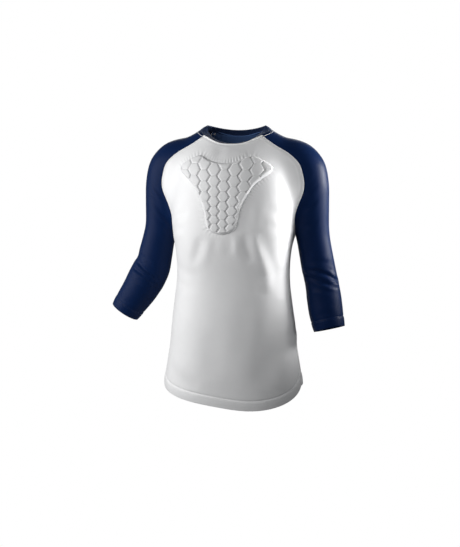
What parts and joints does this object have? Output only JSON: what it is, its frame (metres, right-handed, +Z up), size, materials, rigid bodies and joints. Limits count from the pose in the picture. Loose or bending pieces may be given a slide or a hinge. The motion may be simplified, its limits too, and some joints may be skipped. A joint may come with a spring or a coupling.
{
  "type": "padded compression shirt",
  "caption": "Close-fitting raglan top with three-quarter sleeves, crew neckband, curved hem and a honeycomb chest pad, holding its worn form.",
  "frame": {"origin": "middle of the neck opening, level with the collar seam at the shoulders, where the wearer's neck and shoulders hold the shirt", "axes": "+Z up the wearer's body, -Y towards the wearer's front, +X towards the wearer's left"},
  "size_m": [0.5874, 0.2438, 0.6707],
  "materials": {
    "white_knit": "smooth matte stretch knit",
    "navy_knit": "stretch knit with a soft sheen",
    "navy_facing": "matte knit",
    "pad_skin": "knit-faced moulded foam"
  },
  "bodies": {
    "root": {"front_panel": "white_knit", "back_panel": "white_knit", "sleeve_left": "navy_knit", "sleeve_right": "navy_knit", "collar": "navy_knit", "neck_facing": "navy_facing", "chest_pad": "pad_skin"}
  },
  "joints": []
}
